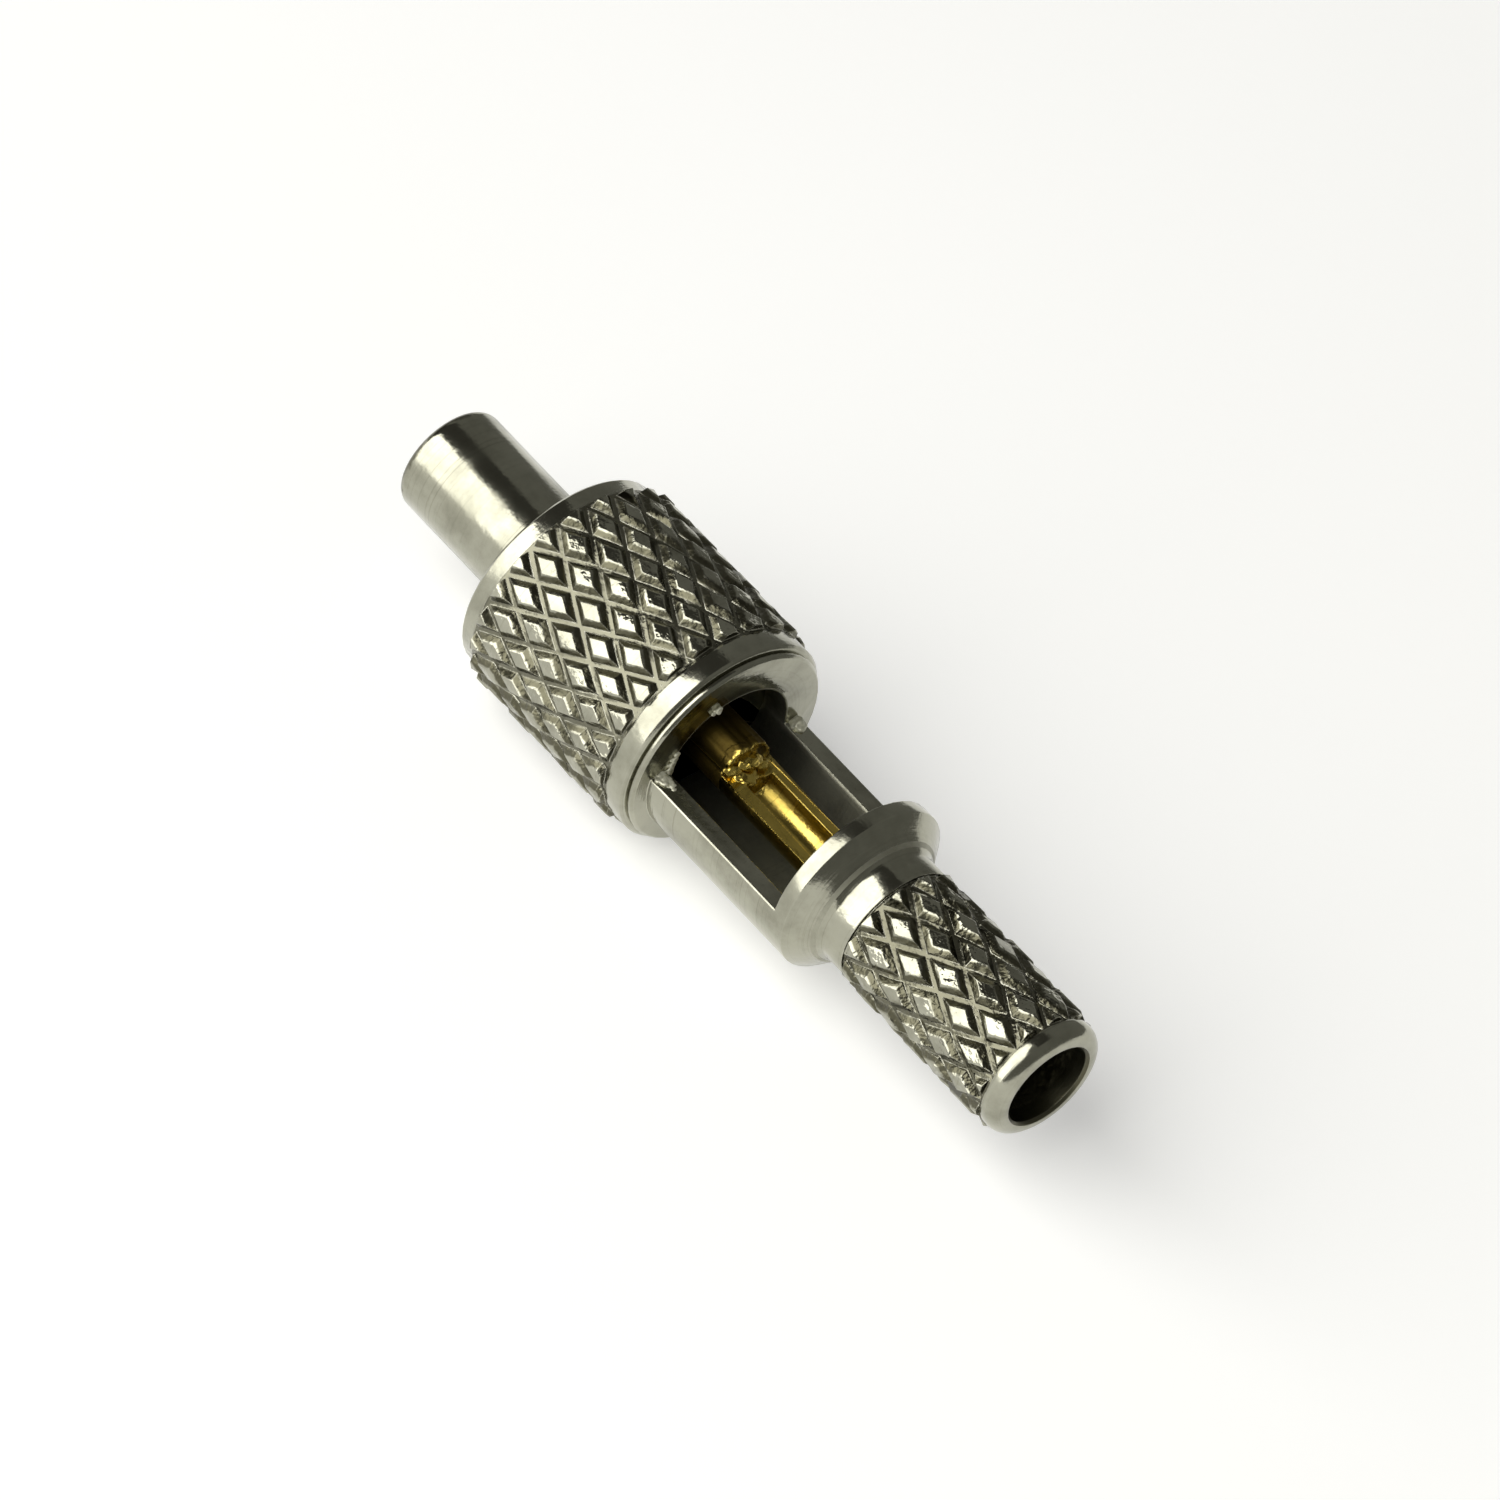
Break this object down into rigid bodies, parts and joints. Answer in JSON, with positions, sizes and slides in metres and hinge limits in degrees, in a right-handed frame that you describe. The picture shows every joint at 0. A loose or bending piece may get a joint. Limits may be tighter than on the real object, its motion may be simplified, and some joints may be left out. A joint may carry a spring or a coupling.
{
  "type": "coaxial crimp plug",
  "caption": "Small straight coaxial antenna connector: smooth mating tube, knurled grip sleeve, open solder window with gilt contact cup, knurled crimp stem for thin cable.",
  "frame": {"origin": "centre of the connector's axis at the mating rim", "axes": "+X along the connector's axis, from the mating rim to the cable end; +Z out of the solder window"},
  "size_m": [0.0169, 0.0046, 0.0046],
  "materials": {
    "nickel": "bright nickel plate on turned brass",
    "gold": "gold plate on turned brass",
    "insulator": "white fluoropolymer"
  },
  "bodies": {
    "root": {"mating_tube": "nickel", "grip_sleeve": "nickel", "crimp_body": "nickel", "centre_contact": "gold", "rear_insulator": "insulator", "front_insulator": "insulator"}
  },
  "joints": []
}
